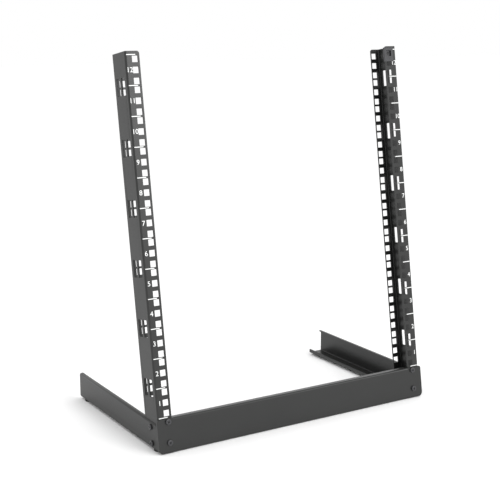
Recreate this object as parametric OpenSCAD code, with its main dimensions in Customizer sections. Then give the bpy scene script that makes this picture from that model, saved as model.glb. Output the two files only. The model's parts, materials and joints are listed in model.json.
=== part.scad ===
// Twelve-unit desktop rack: two leaning channel posts on a pair of low side arms,
// tied together by one front panel. All sheet steel parts are folded from flat blanks.

/* [Rack opening] */
// Number of rack units between the floor line and the top mark
units = 12; // [4:1:20]
// Height of one rack unit
unit_h = 44.45; // [40:0.05:50]
// Distance between the two columns of mounting holes
hole_span = 465.1; // [440:0.1:500]
// Side of a square mounting hole
hole_side = 9.5; // [6:0.5:11]
// Lowest and highest hole of a unit, measured from the edge of that unit
hole_edge = 6.35; // [5.5:0.05:7]

/* [Lean and stance] */
// Backward lean of the posts and of the front panel, in degrees
lean = 9; // [0:0.5:12]
// Height of the lower edge of the front panel above the table
panel_clear = 1.4; // [0.5:0.1:6]
// Depth of the whole frame from the panel to the rear ends of the arms
frame_depth = 296; // [220:1:420]

/* [Posts] */
// Sheet thickness of the posts
post_t = 2; // [1.5:0.1:3]
// Width of the front flange that holds the mounting holes
flange_w = 23; // [20:0.5:26]
// Depth of the web from the front face to the rear face
web_d = 45; // [38:1:60]
// Width of the rear flange
rear_flange_w = 18.5; // [17.5:0.5:24]
// Distance from the outer face to the centre of a rear hole
rear_hole_x = 12.5; // [9:0.5:13]
// Height of the post above the top mark
post_over = 5.3; // [2:0.1:15]
// Radius at the free upper corners of the flanges
flange_corner = 4; // [1:0.5:8]

/* [Lacing slots] */
// Height of a lacing slot in the web
slot_h = 26; // [10:1:40]
// Width of a lacing slot
slot_w = 11; // [4:0.5:13]
// Distance between the centres of the two slot columns
slot_pitch = 16.5; // [14:0.5:24]
// Radius in the corners of a lacing slot
slot_corner = 1.5; // [0.5:0.5:2]

/* [Side arms] */
// Sheet thickness of the arms
arm_t = 2; // [1.5:0.1:3]
// Height of the arm section
arm_h = 41.5; // [30:0.5:60]
// Width of the floor of the arm
arm_floor_w = 28; // [22:0.5:45]
// Height of the upturned lip at the inner edge of the floor
arm_lip_h = 7.5; // [5:0.5:15]
// Width of the return along the upper edge of the arm
arm_return_w = 6; // [5:0.5:12]
// Gap between the front panel and the front end of an arm
arm_gap = 1; // [0.5:0.5:4]
// Gap between the return of an arm and the post that passes through it
notch_gap = 1; // [0.5:0.5:4]

/* [Front panel] */
// Sheet thickness of the front panel
panel_t = 2; // [1.5:0.1:3]
// Height of the front panel
panel_h = 51.5; // [45:0.5:60]
// How far the panel stands out past the outer face of each arm
panel_over = 1; // [0:0.5:3]
// Depth of the return along the upper edge of the panel
panel_return = 13; // [6:0.5:25]
// Gap between the return and the inner edge of a post
return_gap = 1; // [0.5:0.5:4]
// Radius of the lower corners of the panel
panel_low_corner = 7; // [2:0.5:12]
// Radius of the upper corners of the panel
panel_top_corner = 4; // [1:0.5:8]
// Height of the lowest mark of the posts above the upper edge of the panel
mark_over = 1.6; // [0.5:0.1:6]

/* [Screws and nuts] */
// Diameter of the screw shanks
screw_d = 5; // [4:0.5:6]
// Diameter of the screw heads
head_d = 9; // [8:0.5:12]
// Diameter of the flat on top of a screw head
head_flat = 6.5; // [4:0.5:7.5]
// Height of the screw heads
head_h = 2.6; // [2:0.1:4]
// Height of the straight rim of a screw head
head_rim = 1.4; // [0.5:0.1:1.8]
// Free space around a shank in its hole
screw_play = 0.25; // [0.1:0.05:0.5]
// Distance across the flats of a nut
nut_af = 8; // [7:0.5:10]
// Thickness of a nut
nut_h = 4; // [3:0.5:6]
// Length of shank that stands out behind a nut
shank_over = 1; // [0:0.5:3]
// Height of the lower screws above the lower edge of the panel
screw_low = 14.5; // [12:0.5:20]
// Distance between the lower and the upper screws of the panel
front_pitch = 31.5; // [20:0.5:33]
// Height of the lower screws of an arm above the lower edge of the panel
side_low = 13.5; // [13:0.5:16]
// Distance between the lower and the upper screws of an arm
side_pitch = 25; // [12:0.5:26]

/* [Feet] */
// Diameter of a rubber foot
foot_d = 12; // [8:0.5:14]
// Height of a rubber foot
foot_h = 3; // [2:0.5:8]
// Distance from the outer face of an arm to the centre of a foot
foot_inset = 6.8; // [6.5:0.1:16]
// Distance from the front of the frame to the front feet
foot_front = 21; // [16:1:60]
// Distance from the rear end of an arm to the rear feet
foot_rear = 19; // [8:1:60]

/* [Clip nut] */
// Height of the clip nut
clip_h = 23; // [14:0.5:24]
// Width of the clip nut
clip_w = 17.5; // [15:0.5:19]
// Sheet thickness of the clip nut
clip_t = 0.9; // [0.5:0.1:1.5]
// Side of the nut in the clip
clip_nut_w = 11; // [9:0.5:13]
// Thickness of the nut in the clip
clip_nut_h = 4.5; // [3:0.5:7]
// How far the middle of the clip sits below the middle of its hole
clip_drop = 2; // [0:0.5:4]

/* [Hidden] */

$fn = 48;
cut = 1;                    // how far a cutter runs past a face
bend_in = 1;                // inside radius of every fold

// Posts: outer face, inner edge of the front flange, and the height of the marks
opening = 450;
post_x = opening / 2 + flange_w;
mark_low = panel_h + mark_over;
post_top = mark_low + units * unit_h + post_over;
hole_x = hole_span / 2;
hole_mid = unit_h / 2;
web_mid = panel_t + web_d / 2;

// Arms stand on the feet, outside the posts, and start behind the panel
arm_x = post_x + arm_t;
arm_z = foot_h;
arm_front = panel_t + arm_gap;
post_foot = arm_z + arm_t + bend_in;
panel_x = arm_x + panel_over;

// The lower screw heads are the foremost points of the frame
front_reach = max(0, head_h * cos(lean) - (screw_low - head_flat / 2) * sin(lean));

steel = "#3b3c3b";
bolt_black = "#26272a";
rubber = "#1b1b1b";
zinc = "#8d8f90";

// ---------- Frames ----------

// Moves the front edge of the frame so that the origin is in the middle of its depth
module placed() {
    translate([0, (front_reach - frame_depth) / 2, 0]) children();
}

// Local frame of the posts and panel: z runs up along the lean, y runs back from the panel face
module leaning() {
    placed() translate([0, 0, panel_clear]) rotate([-lean, 0, 0]) children();
}

// side is -1 for the left of the frame and 1 for the right
module sided(side) {
    if (side > 0) children(); else mirror([1, 0, 0]) children();
}

// ---------- Folded sheet sections ----------

// Quarter of a fold around the origin, from the +x axis to the +y axis
module fold(t) {
    intersection() {
        difference() {
            circle(r = bend_in + t);
            circle(r = bend_in);
        }
        square(bend_in + t);
    }
}

// Channel section of a post: web on the +x side, front flange along y = 0
module post_section() {
    r = bend_in + post_t;
    translate([post_x - post_t, panel_t + r]) square([post_t, web_d - 2 * r]);
    translate([post_x - r, panel_t + r]) mirror([0, 1]) fold(post_t);
    translate([post_x - r, panel_t + web_d - r]) fold(post_t);
    translate([post_x - flange_w, panel_t]) square([flange_w - r, post_t]);
    translate([post_x - rear_flange_w, panel_t + web_d - post_t])
        square([rear_flange_w - r, post_t]);
}

// Section of an arm: wall on the +x side, floor and lip below, narrow return above
module arm_section() {
    r = bend_in + arm_t;
    translate([arm_x - arm_t, r]) square([arm_t, arm_h - 2 * r]);
    translate([arm_x - r, r]) mirror([0, 1]) fold(arm_t);
    translate([arm_x - r, arm_h - r]) fold(arm_t);
    translate([arm_x - arm_return_w, arm_h - arm_t]) square([arm_return_w - r, arm_t]);
    translate([arm_x - arm_floor_w + r, 0]) square([arm_floor_w - 2 * r, arm_t]);
    translate([arm_x - arm_floor_w + r, r]) mirror([1, 0]) mirror([0, 1]) fold(arm_t);
    translate([arm_x - arm_floor_w, r]) square([arm_t, arm_lip_h - r]);
}

// ---------- Cut-outs ----------

// Places a child at every mounting hole of a column
module hole_column() {
    for (u = [0 : units - 1], step = [hole_edge, hole_mid, unit_h - hole_edge])
        translate([0, 0, mark_low + u * unit_h + step]) children();
}

// Column of square holes through a flange whose front face lies at y
module square_holes(x, y) {
    hole_column()
        translate([x - hole_side / 2, y - cut, -hole_side / 2])
            cube([hole_side, post_t + 2 * cut, hole_side]);
}

// Upright slot with round corners, cut along x
module lacing_slot() {
    rotate([90, 0, 90]) linear_extrude(post_t + 2 * cut) rounded_slot();
}

module rounded_slot() {
    square([slot_w, slot_h - 2 * slot_corner], center = true);
    square([slot_w - 2 * slot_corner, slot_h], center = true);
    for (x = [-1, 1], y = [-1, 1])
        translate([x * (slot_w / 2 - slot_corner), y * (slot_h / 2 - slot_corner)])
            circle(r = slot_corner);
}

// Two columns of slots in the web, on every second edge between two units
module lacing_slots() {
    for (u = [1 : 2 : units - 1], side = [-1, 1])
        translate([post_x - post_t - cut, web_mid + side * slot_pitch / 2, mark_low + u * unit_h])
            lacing_slot();
}

// Takes the corner off a plate that lies in the xz plane, towards -x and +z
module corner_cut(r, depth) {
    rotate([-90, 0, 0]) linear_extrude(depth) difference() {
        translate([-cut, -cut]) square(r + cut);
        translate([r, r]) circle(r = r);
    }
}

// ---------- Screws ----------

// Height of the two screws at a corner, above the lower edge of the panel
function front_screw_z(upper) = screw_low + (upper ? front_pitch : 0);
function side_screw_z(upper) = side_low + (upper ? side_pitch : 0);

// Pan head screw: the head stands on z = 0 and the shank runs down
module pan_screw(grip) {
    cylinder(d = head_d, h = head_rim);
    translate([0, 0, head_rim]) cylinder(d1 = head_d, d2 = head_flat, h = head_h - head_rim);
    translate([0, 0, -grip - nut_h - shank_over])
        cylinder(d = screw_d, h = grip + nut_h + shank_over);
}

// Hexagonal nut under z = 0
module hex_nut() {
    translate([0, 0, -nut_h]) difference() {
        cylinder(d = nut_af / cos(30), h = nut_h, $fn = 6);
        translate([0, 0, -cut]) cylinder(d = screw_d + 2 * screw_play, h = nut_h + 2 * cut);
    }
}

// Axis of a panel screw: z runs out of the front face
module at_front_screw(side, upper) {
    leaning() sided(side) translate([hole_x, 0, front_screw_z(upper)])
        rotate([90, 0, 0]) children();
}

// Axis of an arm screw: z runs out of the outer face
module at_side_screw(side, upper) {
    leaning() sided(side) translate([arm_x, web_mid, side_screw_z(upper)])
        rotate([0, 90, 0]) children();
}

module front_screw(side, upper) {
    color(bolt_black) at_front_screw(side, upper) pan_screw(panel_t + post_t);
}

module side_screw(side, upper) {
    color(bolt_black) at_side_screw(side, upper) pan_screw(arm_t + post_t);
}

module front_nut(side, upper) {
    color(zinc) at_front_screw(side, upper) translate([0, 0, -panel_t - post_t]) hex_nut();
}

module side_nut(side, upper) {
    color(zinc) at_side_screw(side, upper) translate([0, 0, -arm_t - post_t]) hex_nut();
}

// Clearance holes for all the screws of one side, in the frame of the posts
module screw_holes(side) {
    bore = screw_d + 2 * screw_play;
    for (upper = [false, true]) {
        at_front_screw(side, upper) translate([0, 0, -panel_t - post_t - cut])
            cylinder(d = bore, h = panel_t + post_t + 2 * cut);
        at_side_screw(side, upper) translate([0, 0, -arm_t - post_t - cut])
            cylinder(d = bore, h = arm_t + post_t + 2 * cut);
    }
}

// ---------- Sheet parts ----------

module post(side) {
    color(steel) difference() {
        leaning() sided(side) difference() {
            translate([0, 0, -arm_h]) linear_extrude(post_top + arm_h) post_section();
            square_holes(hole_x, panel_t);
            square_holes(post_x - rear_hole_x, panel_t + web_d - post_t);
            lacing_slots();
            translate([post_x - flange_w, panel_t - cut, post_top])
                corner_cut(flange_corner, post_t + 2 * cut);
            translate([post_x - rear_flange_w, panel_t + web_d - post_t - cut, post_top])
                corner_cut(flange_corner, post_t + 2 * cut);
        }
        screw_holes(side);
        below_posts();
    }
}

// Everything under the level lower ends of the posts, just above the folds of the arms
module below_posts() {
    placed() translate([-arm_x, -frame_depth / 2, post_foot - 3 * arm_h])
        cube([2 * arm_x, frame_depth, 3 * arm_h]);
}

module arm(side) {
    color(steel) difference() {
        placed() translate([0, 0, arm_z]) sided(side)
            translate([0, frame_depth, 0]) rotate([90, 0, 0])
                linear_extrude(frame_depth) arm_section();
        ahead_of_arm();
        return_notch(side);
        screw_holes(side);
    }
}

// Room in the return of an arm for the post, cut up to the plane of the post's outer face
module return_notch(side) {
    leaning() sided(side) translate([post_x - arm_floor_w, -cut, arm_h / 2])
        cube([arm_floor_w, cut + panel_t + web_d + notch_gap, 2 * arm_h]);
}

// Everything in front of the leaning plane where the arms start
module ahead_of_arm() {
    leaning() translate([-arm_x - cut, arm_front - arm_h, -arm_h])
        cube([2 * (arm_x + cut), arm_h, 3 * arm_h]);
}

// Outline of the panel face, rounded at its four corners
module panel_outline() {
    module corner(x, z, r) { translate([x * (panel_x - r), z]) circle(r = r); }
    difference() {
        translate([-panel_x, 0]) square([2 * panel_x, panel_h]);
        for (side = [-1, 1]) {
            translate([side * panel_x, 0]) square(2 * panel_low_corner, center = true);
            translate([side * panel_x, panel_h]) square(2 * panel_top_corner, center = true);
        }
    }
    for (side = [-1, 1]) {
        corner(side, panel_low_corner, panel_low_corner);
        corner(side, panel_h - panel_top_corner, panel_top_corner);
    }
}

// Face between the ends of the return, section seen along x
module panel_section() {
    r = bend_in + panel_t;
    square([panel_t, panel_h - r]);
    translate([r, panel_h - r]) mirror([1, 0]) fold(panel_t);
    translate([r, panel_h - panel_t]) square([panel_return - r, panel_t]);
}

module front_panel() {
    return_x = opening / 2 - return_gap;
    color(steel) difference() {
        leaning() {
            difference() {
                translate([0, panel_t, 0]) rotate([90, 0, 0]) linear_extrude(panel_t) panel_outline();
                translate([-return_x, -cut, panel_h - bend_in - panel_t])
                    cube([2 * return_x, panel_t + 2 * cut, panel_h]);
            }
            translate([-return_x, 0, 0]) rotate([90, 0, 90])
                linear_extrude(2 * return_x) panel_section();
        }
        screw_holes(-1);
        screw_holes(1);
    }
}

// ---------- Small parts ----------

module foot(side, rear) {
    y = rear ? frame_depth - foot_rear : foot_front;
    chamfer = foot_h / 4;
    color(rubber) placed() translate([side * (arm_x - foot_inset), y, 0]) {
        cylinder(d1 = foot_d - 2 * chamfer, d2 = foot_d, h = chamfer);
        translate([0, 0, chamfer]) cylinder(d = foot_d, h = foot_h - chamfer);
    }
}

// Spring clip folded over the inner edge of the front flange, with a square nut behind it
module clip_nut() {
    top_hole = mark_low + units * unit_h - hole_edge;
    leaf_x = opening / 2 - clip_t;
    leaf_z = -clip_h / 2 - clip_drop;
    color(bolt_black) leaning() translate([0, panel_t, top_hole]) difference() {
        union() {
            translate([leaf_x, -clip_t, leaf_z]) cube([clip_w, clip_t, clip_h]);
            translate([leaf_x, -clip_t, leaf_z]) cube([clip_t, post_t + 2 * clip_t, clip_h]);
            translate([leaf_x, post_t, leaf_z]) cube([clip_w, clip_t, clip_h]);
            translate([hole_x - clip_nut_w / 2, post_t + clip_t, -clip_nut_w / 2])
                cube([clip_nut_w, clip_nut_h, clip_nut_w]);
        }
        translate([hole_x - hole_side / 2, -clip_t - cut, -hole_side / 2])
            cube([hole_side, clip_t + 2 * cut, hole_side]);
        translate([hole_x, -cut, 0]) rotate([-90, 0, 0])
            cylinder(d = screw_d, h = post_t + clip_t + clip_nut_h + 2 * cut);
    }
}

// ---------- Assembly ----------

post(-1);  // left_post
post(1);  // right_post
arm(-1);  // left_arm
arm(1);  // right_arm
front_panel();
front_screw(-1, true);  // front_screw_left_upper
front_screw(-1, false);  // front_screw_left_lower
front_screw(1, true);  // front_screw_right_upper
front_screw(1, false);  // front_screw_right_lower
side_screw(-1, true);  // side_screw_left_upper
side_screw(-1, false);  // side_screw_left_lower
side_screw(1, true);  // side_screw_right_upper
side_screw(1, false);  // side_screw_right_lower
front_nut(-1, true);  // front_nut_left_upper
front_nut(-1, false);  // front_nut_left_lower
front_nut(1, true);  // front_nut_right_upper
front_nut(1, false);  // front_nut_right_lower
side_nut(-1, true);  // side_nut_left_upper
side_nut(-1, false);  // side_nut_left_lower
side_nut(1, true);  // side_nut_right_upper
side_nut(1, false);  // side_nut_right_lower
foot(-1, false);  // front_left_foot
foot(1, false);  // front_right_foot
foot(-1, true);  // rear_left_foot
foot(1, true);  // rear_right_foot
clip_nut();
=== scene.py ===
"""Dresses the desktop rack: powder coat, unit marks, fasteners, feet, clip nut and the stage."""

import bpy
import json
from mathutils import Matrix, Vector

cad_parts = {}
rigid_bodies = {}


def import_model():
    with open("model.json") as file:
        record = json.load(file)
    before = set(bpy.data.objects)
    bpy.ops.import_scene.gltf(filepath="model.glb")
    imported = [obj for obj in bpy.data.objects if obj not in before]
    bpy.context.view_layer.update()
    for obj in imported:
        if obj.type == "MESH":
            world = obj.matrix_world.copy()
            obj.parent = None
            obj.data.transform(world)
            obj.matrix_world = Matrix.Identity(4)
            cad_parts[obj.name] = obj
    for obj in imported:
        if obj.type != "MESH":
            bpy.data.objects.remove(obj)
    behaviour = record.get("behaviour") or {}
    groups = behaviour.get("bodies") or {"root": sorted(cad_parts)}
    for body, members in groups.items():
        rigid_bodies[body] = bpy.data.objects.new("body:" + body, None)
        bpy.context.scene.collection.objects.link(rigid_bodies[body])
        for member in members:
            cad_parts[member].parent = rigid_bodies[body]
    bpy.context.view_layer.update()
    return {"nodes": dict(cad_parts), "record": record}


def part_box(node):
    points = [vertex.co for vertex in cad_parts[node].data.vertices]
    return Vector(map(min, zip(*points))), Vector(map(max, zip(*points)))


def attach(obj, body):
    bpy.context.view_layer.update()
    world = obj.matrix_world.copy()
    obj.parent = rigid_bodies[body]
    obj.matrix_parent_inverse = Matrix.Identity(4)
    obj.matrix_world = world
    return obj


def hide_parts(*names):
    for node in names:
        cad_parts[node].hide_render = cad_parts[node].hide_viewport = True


bl_info = {
    "name": "Desktop rack dressing",
    "version": (1, 0, 0),
    "blender": (4, 5, 0),
    "location": "3D View > Sidebar > Rack",
    "description": "Coats the folded rack parts and adds marks, fasteners, feet and a stage",
    "category": "Object",
}

import json
import math

import bmesh
import bpy
from bpy.props import FloatProperty, FloatVectorProperty, IntProperty, PointerProperty
from mathutils import Matrix, Vector

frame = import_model()

BODY = "root"
SHEET_PARTS = ("left_post", "right_post", "left_arm", "right_arm", "front_panel")
SIDES = (("left", -1), ("right", 1))
LEVELS = ("upper", "lower")
FEET = ("front_left_foot", "front_right_foot", "rear_left_foot", "rear_right_foot")

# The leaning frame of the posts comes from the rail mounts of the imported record.
RAILS = {m["name"]: m for m in frame["record"]["mounts"] if m["name"].endswith("_rail")}
OUT = Vector(RAILS["left_rail"]["axis"]).normalized()
UP = Vector((0, OUT.z, -OUT.y)).normalized()
UNIT_COUNT = 12
UNIT = 0.04445
# Height of a numeral of the built-in font, as a share of the font size
NUMERAL_SHARE = 0.729
# The screw shanks reach this far below the heads, through both sheets and the nut
SHANK_REACH = 0.009


# ---------------------------------------------------------------- settings


class CoatSettings(bpy.types.PropertyGroup):
    """The powder coat on the folded parts."""

    colour: FloatVectorProperty(name="Colour", description="Colour of the powder coat",
        subtype="COLOR", size=3, min=0, max=1, default=(0.009, 0.0095, 0.009))
    roughness: FloatProperty(name="Roughness", description="Roughness of the powder coat",
        min=0, max=1, default=0.36)
    grain: FloatProperty(name="Grain", description="Width of one bump of the powder coat",
        unit="LENGTH", min=0.0002, max=0.01, default=0.0011)
    edge_round: FloatProperty(name="Edge round", description="Radius that the coat gives to cut edges",
        unit="LENGTH", min=0, max=0.001, default=0.0003)


class MarkSettings(bpy.types.PropertyGroup):
    """The printed unit marks on the posts."""

    colour: FloatVectorProperty(name="Colour", description="Colour of the printing ink",
        subtype="COLOR", size=3, min=0, max=1, default=(0.88, 0.89, 0.88))
    ink: FloatProperty(name="Ink height", description="How far the ink stands on the coat",
        unit="LENGTH", min=0.00001, max=0.0005, default=0.00006)
    line_width: FloatProperty(name="Line width", description="Width of a unit line",
        unit="LENGTH", min=0.0003, max=0.003, default=0.0012)
    line_inner: FloatProperty(name="Line start", description="Start of a line, from the hole centres",
        unit="LENGTH", min=-0.007, max=0.005, default=-0.001)
    line_outer: FloatProperty(name="Line end", description="End of a line, from the hole centres",
        unit="LENGTH", min=0.006, max=0.015, default=0.0135)
    digit: FloatProperty(name="Digit height", description="Height of the unit numbers",
        unit="LENGTH", min=0.003, max=0.012, default=0.0076)
    digit_place: FloatProperty(name="Digit place", description="Middle of a number, from the hole centres",
        unit="LENGTH", min=0.005, max=0.015, default=0.0098)


class FastenerSettings(bpy.types.PropertyGroup):
    """Screws and nuts that hold the panel and the arms to the posts."""

    head: FloatProperty(name="Head", description="Diameter of a screw head",
        unit="LENGTH", min=0.006, max=0.012, default=0.009)
    head_height: FloatProperty(name="Head height", description="Height of a screw head",
        unit="LENGTH", min=0.001, max=0.004, default=0.0026)
    recess: FloatProperty(name="Recess", description="Span of the cross recess",
        unit="LENGTH", min=0.002, max=0.007, default=0.0048)
    recess_depth: FloatProperty(name="Recess depth", description="Depth of the cross recess",
        unit="LENGTH", min=0.0005, max=0.0024, default=0.0019)
    shank: FloatProperty(name="Shank", description="Diameter of a screw shank",
        unit="LENGTH", min=0.003, max=0.006, default=0.005)
    pitch: FloatProperty(name="Pitch", description="Distance between two turns of the thread",
        unit="LENGTH", min=0.0004, max=0.002, default=0.0008)
    nut_flats: FloatProperty(name="Nut", description="Distance across the flats of a nut",
        unit="LENGTH", min=0.006, max=0.01, default=0.008)
    nut_height: FloatProperty(name="Nut height", description="Thickness of a nut",
        unit="LENGTH", min=0.002, max=0.006, default=0.004)
    seed: IntProperty(name="Seed", description="Seed for the way each screw is turned",
        min=0, max=99, default=7)


class StageSettings(bpy.types.PropertyGroup):
    """Floor, surround, lamp and camera."""

    floor: FloatVectorProperty(name="Floor", description="Colour of the floor",
        subtype="COLOR", size=3, min=0, max=1, default=(0.97, 0.97, 0.97))
    surround: FloatProperty(name="Surround", description="Strength of the light from all round",
        min=0, max=4, default=1.06)
    key: FloatProperty(name="Key lamp", description="Power of the large lamp in front",
        unit="POWER", min=0, max=2000, default=40)
    yaw: FloatProperty(name="Yaw", description="How far the camera is turned to the right",
        subtype="ANGLE", unit="ROTATION", default=math.radians(31.67))
    pitch: FloatProperty(name="Pitch", description="How far the camera looks down",
        subtype="ANGLE", unit="ROTATION", default=math.radians(11.99))
    place: FloatVectorProperty(name="Place", description="Where the camera stands",
        subtype="TRANSLATION", unit="LENGTH", size=3, default=(-0.9384, -1.51534, 0.6345))
    lens: FloatProperty(name="Lens", description="Focal length of the camera",
        unit="CAMERA", min=20, max=200, default=1101.7 * 36 / 500)


# The large lamp stands in front, a little to the right, and looks at the middle of the rack
LAMP_PLACE = Vector((0.75, -2.5, 1.6))
LAMP_TARGET = Vector((-0.2, 0, 0.4))
LAMP_SIDE = 1.6
FLOOR_HALF = 12

SETTINGS = {
    "rack_coat": CoatSettings,
    "rack_marks": MarkSettings,
    "rack_fasteners": FastenerSettings,
    "rack_stage": StageSettings,
}


# ---------------------------------------------------------------- materials


class Finish:
    """One material with a Principled shader and a few helpers to wire it."""

    def __init__(self, name):
        self.material = bpy.data.materials.new(name)
        self.material.use_nodes = True
        self.nodes = self.material.node_tree.nodes
        self.links = self.material.node_tree.links
        self.shader = self.nodes["Principled BSDF"]
        self.place = self.nodes.new("ShaderNodeTexCoord").outputs["Object"]

    def set(self, **values):
        for label, value in values.items():
            self.shader.inputs[label.replace("_", " ")].default_value = value

    def noise(self, size, detail=2.0, rough=0.5, stretch=None):
        node = self.nodes.new("ShaderNodeTexNoise")
        node.inputs["Scale"].default_value = 1 / size
        node.inputs["Detail"].default_value = detail
        node.inputs["Roughness"].default_value = rough
        if stretch:
            mapping = self.nodes.new("ShaderNodeMapping")
            mapping.inputs["Scale"].default_value = stretch
            self.links.new(self.place, mapping.inputs["Vector"])
            self.links.new(mapping.outputs["Vector"], node.inputs["Vector"])
        else:
            self.links.new(self.place, node.inputs["Vector"])
        return node.outputs["Fac"]

    def ramp(self, value, low, high, start=0.3, end=0.7):
        node = self.nodes.new("ShaderNodeMapRange")
        node.inputs["From Min"].default_value = start
        node.inputs["From Max"].default_value = end
        node.inputs["To Min"].default_value = low
        node.inputs["To Max"].default_value = high
        self.links.new(value, node.inputs["Value"])
        return node.outputs["Result"]

    def tint(self, value, low, high):
        node = self.nodes.new("ShaderNodeMix")
        node.data_type = "RGBA"
        self.links.new(value, node.inputs["Factor"])
        node.inputs["A"].default_value = (*low, 1)
        node.inputs["B"].default_value = (*high, 1)
        self.links.new(node.outputs["Result"], self.shader.inputs["Base Color"])

    def rough(self, value):
        self.links.new(value, self.shader.inputs["Roughness"])

    def bump(self, value, height, strength=1.0):
        node = self.nodes.new("ShaderNodeBump")
        node.inputs["Strength"].default_value = strength
        node.inputs["Distance"].default_value = height
        self.links.new(value, node.inputs["Height"])
        self.links.new(node.outputs["Normal"], self.shader.inputs["Normal"])


def shaded(colour, share):
    return tuple(min(1, c * share) for c in colour)


def powder_coat(coat):
    finish = Finish("powder_coat")
    grain = finish.noise(coat.grain, detail=3)
    cloud = finish.noise(0.06, detail=2)
    finish.tint(finish.ramp(cloud, 0, 1), shaded(coat.colour, 0.9), shaded(coat.colour, 1.12))
    finish.rough(finish.ramp(grain, coat.roughness - 0.03, coat.roughness + 0.05))
    finish.bump(grain, 0.00003, 0.5)
    finish.set(Specular_IOR_Level=0.5, IOR=1.5)
    return finish.material


def black_oxide():
    finish = Finish("black_oxide")
    grain = finish.noise(0.0006, detail=3)
    finish.tint(finish.ramp(grain, 0, 1), (0.012, 0.012, 0.014), (0.03, 0.03, 0.034))
    finish.rough(finish.ramp(finish.noise(0.002), 0.26, 0.42))
    finish.bump(grain, 0.00002, 0.4)
    finish.set(Metallic=0.0, IOR=1.6)
    return finish.material


def zinc_plate():
    finish = Finish("zinc_plate")
    cloud = finish.noise(0.003, detail=4)
    finish.tint(finish.ramp(cloud, 0, 1), (0.42, 0.43, 0.45), (0.58, 0.59, 0.61))
    finish.rough(finish.ramp(finish.noise(0.0008), 0.28, 0.42))
    finish.bump(finish.noise(0.0004, stretch=(1, 1, 6)), 0.00001, 0.5)
    finish.set(Metallic=1.0)
    return finish.material


def foot_rubber():
    finish = Finish("foot_rubber")
    grain = finish.noise(0.0007, detail=4)
    finish.tint(finish.ramp(grain, 0, 1), (0.012, 0.012, 0.012), (0.022, 0.022, 0.022))
    finish.rough(finish.ramp(grain, 0.7, 0.85))
    finish.bump(grain, 0.00005, 0.6)
    return finish.material


def printing_ink(marks):
    finish = Finish("printing_ink")
    speckle = finish.noise(0.0005, detail=3)
    finish.tint(finish.ramp(speckle, 0, 1), shaded(marks.colour, 0.92), shaded(marks.colour, 1.03))
    finish.rough(finish.ramp(speckle, 0.42, 0.55))
    finish.bump(speckle, 0.00001, 0.4)
    return finish.material


# ---------------------------------------------------------------- mesh helpers


def linked(name, mesh):
    thing = bpy.data.objects.new(name, mesh)
    bpy.context.scene.collection.objects.link(thing)
    return thing


def from_bmesh(name, shape):
    mesh = bpy.data.meshes.new(name)
    shape.to_mesh(mesh)
    shape.free()
    return mesh


def lathe(outline, steps):
    """A closed solid of revolution around z, from (radius, height) pairs listed from top to bottom."""
    shape = bmesh.new()
    rings = []
    for radius, height in outline:
        if radius < 1e-7:
            rings.append([shape.verts.new((0, 0, height))])
            continue
        rings.append([
            shape.verts.new((radius * math.cos(a), radius * math.sin(a), height))
            for a in (2 * math.pi * k / steps for k in range(steps))
        ])
    for above, below in zip(rings, rings[1:]):
        for k in range(steps):
            n = (k + 1) % steps
            corners = [above[k % len(above)], below[k % len(below)]]
            corners += [below[n % len(below)], above[n % len(above)]]
            unique = list(dict.fromkeys(corners))
            if len(unique) > 2:
                shape.faces.new(unique)
    bmesh.ops.recalc_face_normals(shape, faces=shape.faces)
    return shape


def arc(centre, radius, start, end, steps):
    """(radius, height) pairs along an arc; angles in degrees."""
    pairs = []
    for k in range(steps + 1):
        a = math.radians(start + (end - start) * k / steps)
        pairs.append((centre[0] + radius * math.cos(a), centre[1] + radius * math.sin(a)))
    return pairs


def smooth_by_angle(mesh, degrees=32):
    mesh.shade_smooth()
    mesh.set_sharp_from_angle(angle=math.radians(degrees))


def centre_of(node):
    low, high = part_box(node)
    return (low + high) / 2


def settle(piece, slot, *nodes):
    """Rides the piece on the frame and hides what it stands for."""
    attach(piece, BODY)
    if nodes:
        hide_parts(*nodes)
    return piece


# ---------------------------------------------------------------- node trees


class Tree:
    """A geometry node tree with named inputs, kept by identifier."""

    def __init__(self, name, inputs):
        self.group = bpy.data.node_groups.new(name, "GeometryNodeTree")
        face = self.group.interface
        face.new_socket("Geometry", in_out="INPUT", socket_type="NodeSocketGeometry")
        self.ids = {}
        for label, kind, default in inputs:
            socket = face.new_socket(label, in_out="INPUT", socket_type="NodeSocket" + kind)
            if default is not None:
                socket.default_value = default
            self.ids[label] = socket.identifier
        face.new_socket("Geometry", in_out="OUTPUT", socket_type="NodeSocketGeometry")
        self.start = self.group.nodes.new("NodeGroupInput")
        self.end = self.group.nodes.new("NodeGroupOutput")

    def node(self, kind, **inputs):
        made = self.group.nodes.new(kind)
        for label, value in inputs.items():
            self.feed(made.inputs[label.replace("_", " ")], value)
        return made

    def feed(self, socket, value):
        if isinstance(value, bpy.types.NodeSocket):
            self.group.links.new(value, socket)
        else:
            socket.default_value = value

    def close(self, instances):
        real = self.node("GeometryNodeRealizeInstances", Geometry=instances)
        coated = self.node("GeometryNodeSetMaterial", Geometry=real.outputs[0],
            Material=self.start.outputs["Material"])
        self.feed(self.end.inputs[0], coated.outputs[0])

    def run(self, name, mesh, values):
        """Applies the tree to a mesh and returns the result as a plain piece."""
        carrier = linked(name + "_carrier", mesh)
        modifier = carrier.modifiers.new("made", "NODES")
        modifier.node_group = self.group
        for label, value in values.items():
            modifier[self.ids[label]] = value
        bpy.context.view_layer.update()
        graph = bpy.context.evaluated_depsgraph_get()
        result = bpy.data.meshes.new_from_object(carrier.evaluated_get(graph), depsgraph=graph)
        carrier.modifiers.remove(modifier)
        bpy.data.objects.remove(carrier)
        result.name = name
        return linked(name, result)


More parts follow.
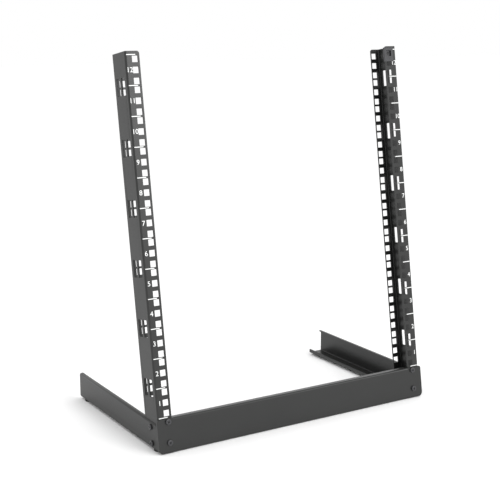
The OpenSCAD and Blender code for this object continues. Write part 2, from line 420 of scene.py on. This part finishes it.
def seat_tree():
    """Copies a shape to each point, aimed along the point's own direction and turned about it."""
    tree = Tree("seat_on_points", [
        ("Shape", "Object", None), ("Turn", "Float", 0.0), ("Seed", "Int", 0),
        ("Material", "Material", None)])
    shape = tree.node("GeometryNodeObjectInfo", Object=tree.start.outputs["Shape"])
    aim = tree.node("GeometryNodeInputNamedAttribute", Name="aim")
    aim.data_type = "FLOAT_VECTOR"
    turned = tree.node("FunctionNodeAlignRotationToVector", Vector=aim.outputs["Attribute"])
    turned.axis = "Z"
    placed = tree.node("GeometryNodeInstanceOnPoints", Points=tree.start.outputs["Geometry"],
        Instance=shape.outputs["Geometry"], Rotation=turned.outputs["Rotation"])
    chance = tree.node("FunctionNodeRandomValue", Seed=tree.start.outputs["Seed"])
    chance.data_type = "FLOAT"
    floats = [s for s in chance.inputs if s.type == "VALUE"]
    tree.feed(floats[0], 0.0)
    tree.feed(floats[1], tree.start.outputs["Turn"])
    value = next(s for s in chance.outputs if s.type == "VALUE")
    spin = tree.node("ShaderNodeCombineXYZ", Z=value)
    spun = tree.node("GeometryNodeRotateInstances", Instances=placed.outputs["Instances"])
    tree.feed(spun.inputs["Rotation"], spin.outputs["Vector"])
    tree.close(spun.outputs["Instances"])
    return tree


def points_mesh(name, places):
    """A mesh of loose points, each with the direction that a copy on it is aimed along."""
    mesh = bpy.data.meshes.new(name)
    mesh.from_pydata([p for p, _ in places], [], [])
    aims = mesh.attributes.new("aim", "FLOAT_VECTOR", "POINT")
    for k, (_, direction) in enumerate(places):
        aims.data[k].vector = direction
    return mesh


def seated(name, shape_mesh, places, material, turn=0.0, seed=0):
    tree = seat_tree()
    shape = linked(name + "_shape", shape_mesh)
    piece = tree.run(name, points_mesh(name + "_points", places),
        {"Shape": shape, "Turn": turn, "Seed": seed, "Material": material})
    bpy.data.objects.remove(shape)
    if "aim" in piece.data.attributes:
        piece.data.attributes.remove(piece.data.attributes["aim"])
    return piece


def line_tree():
    """A column of flat bars at equal steps."""
    tree = Tree("unit_lines", [
        ("First", "Vector", (0, 0, 0)), ("Step", "Vector", (0, 0, 0.04445)), ("Count", "Int", 13),
        ("Size", "Vector", (0.01, 0.001, 0.0001)), ("Aim", "Vector", (0, -1, 0)),
        ("Material", "Material", None)])
    column = tree.node("GeometryNodeMeshLine", Count=tree.start.outputs["Count"])
    column.mode = "OFFSET"
    tree.feed(column.inputs["Start Location"], tree.start.outputs["First"])
    tree.feed(column.inputs["Offset"], tree.start.outputs["Step"])
    bar = tree.node("GeometryNodeMeshCube", Size=tree.start.outputs["Size"])
    face = tree.node("FunctionNodeAlignRotationToVector", Vector=tree.start.outputs["Aim"])
    face.axis = "Z"
    placed = tree.node("GeometryNodeInstanceOnPoints", Points=column.outputs["Mesh"],
        Instance=bar.outputs["Mesh"], Rotation=face.outputs["Rotation"])
    tree.close(placed.outputs["Instances"])
    return tree


# ---------------------------------------------------------------- operators


class RACK_OT_coat(bpy.types.Operator):
    """Give the posts, arms and front panel their powder coat and softened cut edges"""

    bl_idname = "rack.coat"
    bl_label = "Coat the folded parts"

    def execute(self, context):
        coat = context.scene.rack_coat
        finish = powder_coat(coat)
        for name in SHEET_PARTS:
            part = frame["nodes"][name]
            for slot in part.material_slots:
                slot.material = finish
            weld = part.modifiers.new("weld", "WELD")
            weld.merge_threshold = 0.000005
            soft = part.modifiers.new("coat_edge", "BEVEL")
            soft.width = coat.edge_round
            soft.segments = 2
            soft.limit_method = "ANGLE"
            soft.angle_limit = math.radians(40)
            soft.use_clamp_overlap = True
            soft.harden_normals = False
        return {"FINISHED"}


class RACK_OT_marks(bpy.types.Operator):
    """Print the unit lines and the unit numbers on the front flanges"""

    bl_idname = "rack.marks"
    bl_label = "Print the unit marks"

    def execute(self, context):
        marks = context.scene.rack_marks
        ink = printing_ink(marks)
        turn = Matrix((Vector((1, 0, 0)), UP, OUT)).transposed().to_4x4()
        tree = line_tree()
        for side, sign in SIDES:
            rail = Vector(RAILS[side + "_rail"]["pos_m"])
            length = marks.line_outer - marks.line_inner
            middle = (marks.line_outer + marks.line_inner) / 2
            first = rail - UP * UNIT * UNIT_COUNT / 2 + Vector((sign * middle, 0, 0))
            lines = tree.run(side + "_unit_lines", bpy.data.meshes.new("empty"), {
                "First": first, "Step": UP * UNIT, "Count": UNIT_COUNT + 1,
                "Size": (length, marks.line_width, 2 * marks.ink), "Aim": OUT, "Material": ink})
            settle(lines, None)
            whole = bmesh.new()
            for number in range(1, UNIT_COUNT + 1):
                curve = bpy.data.curves.new("digit", "FONT")
                curve.body = str(number)
                curve.size = marks.digit / NUMERAL_SHARE
                curve.align_x = "CENTER"
                curve.align_y = "CENTER"
                curve.extrude = marks.ink
                curve.resolution_u = 4
                text = linked("digit", curve)
                context.view_layer.update()
                mesh = bpy.data.meshes.new_from_object(text)
                place = rail + UP * UNIT * (number - 0.5 - UNIT_COUNT / 2)
                place += Vector((sign * marks.digit_place, 0, 0))
                mesh.transform(Matrix.Translation(place) @ turn)
                whole.from_mesh(mesh)
                bpy.data.objects.remove(text)
            bmesh.ops.remove_doubles(whole, verts=whole.verts, dist=1e-7)
            numbers = linked(side + "_unit_numbers", from_bmesh("numbers", whole))
            numbers.data.materials.clear()
            numbers.data.materials.append(ink)
            settle(numbers, None)
        return {"FINISHED"}


class RACK_OT_screws(bpy.types.Operator):
    """Make the pan head screws with their cross recesses and threads"""

    bl_idname = "rack.screws"
    bl_label = "Make the screws"

    def execute(self, context):
        size = context.scene.rack_fasteners
        radius, height, shank = size.head / 2, size.head_height, size.shank / 2
        outline = [(0, height), (radius * 0.55, height * 0.985)]
        outline += arc((radius - 0.0013, height - 0.0013), 0.0013, 70, 0, 5)
        outline += [(radius, 0.0003), (radius - 0.0002, 0), (shank, 0)]
        turn = 0.0
        while turn + size.pitch < SHANK_REACH - 0.0004:
            outline += [(shank, -turn - 0.0001), (shank - 0.0003, -turn - size.pitch / 2)]
            turn += size.pitch
        outline += [(shank, -turn - 0.0001), (shank - 0.0006, -SHANK_REACH), (0, -SHANK_REACH)]
        body = linked("screw_body", from_bmesh("screw_body", lathe(outline, 40)))
        blades = [linked("recess", self.recess(size, turned)) for turned in (0, math.pi / 2)]
        for blade in blades:
            cut = body.modifiers.new("recess", "BOOLEAN")
            cut.operation = "DIFFERENCE"
            cut.solver = "EXACT"
            cut.object = blade
        context.view_layer.update()
        graph = context.evaluated_depsgraph_get()
        shape = bpy.data.meshes.new_from_object(body.evaluated_get(graph), depsgraph=graph)
        smooth_by_angle(shape)
        for thing in (body, *blades):
            bpy.data.objects.remove(thing)
        places, nodes = [], []
        for kind in ("front", "side"):
            for side, sign in SIDES:
                for level in LEVELS:
                    node = f"{kind}_screw_{side}_{level}"
                    nodes.append(node)
                    direction = OUT if kind == "front" else Vector((sign, 0, 0))
                    # the middle of the CAD screw lies half way between head top and shank end
                    seat = centre_of(node) - direction * (height - SHANK_REACH) / 2
                    places.append((seat, direction))
        screws = seated("cross_recess_screws", shape, places, black_oxide(),
            turn=math.pi / 2, seed=size.seed)
        settle(screws, "black_screw", *nodes)
        return {"FINISHED"}

    @staticmethod
    def recess(size, turned):
        """One tapered blade; two of them, crossed, cut the recess."""
        shape = bmesh.new()
        top = size.head_height + 0.0002
        floor = size.head_height - size.recess_depth
        ring = []
        for z, half, thick in ((top, size.recess / 2, 0.0006), (floor, size.recess * 0.14, 0.0004)):
            for x, y in ((-half, -thick), (half, -thick), (half, thick), (-half, thick)):
                ring.append(shape.verts.new(Matrix.Rotation(turned, 4, "Z") @ Vector((x, y, z))))
        shape.faces.new(ring[3::-1])
        shape.faces.new(ring[4:])
        for k in range(4):
            n = (k + 1) % 4
            shape.faces.new((ring[k], ring[n], ring[4 + n], ring[4 + k]))
        bmesh.ops.recalc_face_normals(shape, faces=shape.faces)
        return from_bmesh("recess", shape)


class RACK_OT_nuts(bpy.types.Operator):
    """Make the hexagonal nuts inside the posts"""

    bl_idname = "rack.nuts"
    bl_label = "Make the nuts"

    def execute(self, context):
        size = context.scene.rack_fasteners
        flat, height = size.nut_flats / 2, size.nut_height
        bore = size.shank / 2 + 0.00005
        steps = 72
        shape = bmesh.new()
        rings = []
        for kind in range(8):
            ring = []
            for k in range(steps):
                a = 2 * math.pi * k / steps
                side = flat / math.cos((a + math.pi / 6) % (math.pi / 3) - math.pi / 6)
                drop = (side - flat * 0.97) * math.tan(math.radians(30))
                r, z = (
                    (bore, height / 2 - 0.0004), (bore + 0.0004, height / 2),
                    (flat * 0.97, height / 2), (side, height / 2 - drop),
                    (side, drop - height / 2), (flat * 0.97, -height / 2),
                    (bore + 0.0004, -height / 2), (bore, 0.0004 - height / 2),
                )[kind]
                ring.append(shape.verts.new((r * math.cos(a), r * math.sin(a), z)))
            rings.append(ring)
        for k, ring in enumerate(rings):
            below = rings[(k + 1) % len(rings)]
            for j in range(steps):
                n = (j + 1) % steps
                shape.faces.new((ring[j], below[j], below[n], ring[n]))
        bmesh.ops.recalc_face_normals(shape, faces=shape.faces)
        mesh = from_bmesh("nut", shape)
        smooth_by_angle(mesh, 25)
        places, nodes = [], []
        for kind in ("front", "side"):
            for side, sign in SIDES:
                for level in LEVELS:
                    node = f"{kind}_nut_{side}_{level}"
                    nodes.append(node)
                    direction = OUT if kind == "front" else Vector((sign, 0, 0))
                    places.append((centre_of(node), direction))
        nuts = seated("hexagon_nuts", mesh, places, zinc_plate(), turn=math.pi / 3, seed=size.seed + 1)
        settle(nuts, "zinc_steel", *nodes)
        return {"FINISHED"}


class RACK_OT_feet(bpy.types.Operator):
    """Make the rubber feet under the arms"""

    bl_idname = "rack.feet"
    bl_label = "Make the feet"

    def execute(self, context):
        low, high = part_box(FEET[0])
        radius, height = (high.x - low.x) / 2, high.z - low.z
        edge = 0.0008
        outline = [(0, height), (radius - 0.0002, height), (radius, height - 0.0002)]
        outline += arc((radius - edge, edge), edge, 0, -90, 6)
        outline += [(radius * 0.45, 0), (radius * 0.4, 0.0004), (0, 0.0004)]
        mesh = from_bmesh("foot", lathe(outline, 48))
        smooth_by_angle(mesh)
        places = []
        for node in FEET:
            spot = centre_of(node)
            places.append((Vector((spot.x, spot.y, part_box(node)[0].z)), Vector((0, 0, 1))))
        feet = seated("rubber_feet", mesh, places, foot_rubber())
        settle(feet, "rubber", *FEET)
        return {"FINISHED"}


class RACK_OT_clip(bpy.types.Operator):
    """Give the clip nut its finish"""

    bl_idname = "rack.clip"
    bl_label = "Make the clip nut"

    def execute(self, context):
        part = frame["nodes"]["clip_nut"]
        for slot in part.material_slots:
            slot.material = black_oxide()
        return {"FINISHED"}


class RACK_OT_stage(bpy.types.Operator):
    """Set up the floor, the lamp, the surround and the camera"""

    bl_idname = "rack.stage"
    bl_label = "Set the stage"

    def execute(self, context):
        stage = context.scene.rack_stage
        self.floor(stage)
        self.surround(context, stage)
        self.lamp("key_lamp", LAMP_PLACE, LAMP_TARGET, LAMP_SIDE, stage.key)
        self.camera(context, stage)
        context.scene.view_settings.view_transform = "Standard"
        return {"FINISHED"}

    @staticmethod
    def floor(stage):
        half = FLOOR_HALF
        mesh = bpy.data.meshes.new("floor")
        mesh.from_pydata([(-half, -half, 0), (half, -half, 0), (half, half, 0), (-half, half, 0)],
            [], [(0, 1, 2, 3)])
        floor = linked("floor", mesh)
        finish = Finish("floor_paint")
        finish.set(Base_Color=(*stage.floor, 1), Roughness=0.9, Specular_IOR_Level=0.0)
        mesh.materials.append(finish.material)

    @staticmethod
    def surround(context, stage):
        world = bpy.data.worlds.new("surround")
        context.scene.world = world
        world.use_nodes = True
        nodes, links = world.node_tree.nodes, world.node_tree.links
        back = nodes["Background"]
        ray = nodes.new("ShaderNodeLightPath")
        pick = nodes.new("ShaderNodeMix")
        pick.data_type = "FLOAT"
        pick.inputs["A"].default_value = stage.surround
        pick.inputs["B"].default_value = 1.0
        links.new(ray.outputs["Is Camera Ray"], pick.inputs["Factor"])
        links.new(pick.outputs["Result"], back.inputs["Strength"])
        back.inputs["Color"].default_value = (1, 1, 1, 1)

    @staticmethod
    def lamp(name, place, target, size, power):
        light = bpy.data.lights.new(name, "AREA")
        light.shape = "SQUARE"
        light.size = size
        light.energy = power
        thing = linked(name, light)
        thing.location = place
        thing.rotation_mode = "QUATERNION"
        thing.rotation_quaternion = (target - place).to_track_quat("-Z", "Y")
        return thing

    @staticmethod
    def camera(context, stage):
        lens = bpy.data.cameras.new("camera")
        lens.lens = stage.lens
        lens.sensor_width = 36
        lens.clip_start, lens.clip_end = 0.05, 60
        camera = linked("camera", lens)
        camera.location = stage.place
        ahead = Vector((math.sin(stage.yaw) * math.cos(stage.pitch),
            math.cos(stage.yaw) * math.cos(stage.pitch), -math.sin(stage.pitch)))
        right = Vector((math.cos(stage.yaw), -math.sin(stage.yaw), 0))
        above = right.cross(ahead)
        camera.rotation_mode = "QUATERNION"
        camera.rotation_quaternion = Matrix((right, above, -ahead)).transposed().to_quaternion()
        context.scene.camera = camera


class RACK_PT_panel(bpy.types.Panel):
    """Lists the steps that dress the rack"""

    bl_idname = "RACK_PT_panel"
    bl_label = "Rack"
    bl_space_type = "VIEW_3D"
    bl_region_type = "UI"
    bl_category = "Rack"

    def draw(self, context):
        for name, operators in STEPS:
            box = self.layout.box()
            for operator in operators:
                box.operator(operator.bl_idname)
            group = getattr(context.scene, name) if name else None
            if group:
                for key in group.bl_rna.properties.keys():
                    if key not in ("rna_type", "name"):
                        box.prop(group, key)


STEPS = (
    ("rack_coat", (RACK_OT_coat,)),
    ("rack_marks", (RACK_OT_marks,)),
    ("rack_fasteners", (RACK_OT_screws, RACK_OT_nuts)),
    ("", (RACK_OT_feet, RACK_OT_clip)),
    ("rack_stage", (RACK_OT_stage,)),
)
OPERATORS = tuple(operator for _, group in STEPS for operator in group)
CLASSES = tuple(SETTINGS.values()) + OPERATORS + (RACK_PT_panel,)


def register():
    for each in CLASSES:
        bpy.utils.register_class(each)
    for name, group in SETTINGS.items():
        setattr(bpy.types.Scene, name, PointerProperty(type=group))


def unregister():
    for name in SETTINGS:
        delattr(bpy.types.Scene, name)
    for each in reversed(CLASSES):
        bpy.utils.unregister_class(each)


def main():
    register()
    bpy.ops.rack.coat()
    bpy.ops.rack.marks()
    bpy.ops.rack.screws()
    bpy.ops.rack.nuts()
    bpy.ops.rack.feet()
    bpy.ops.rack.clip()
    bpy.ops.rack.stage()


if __name__ == "__main__":
    main()
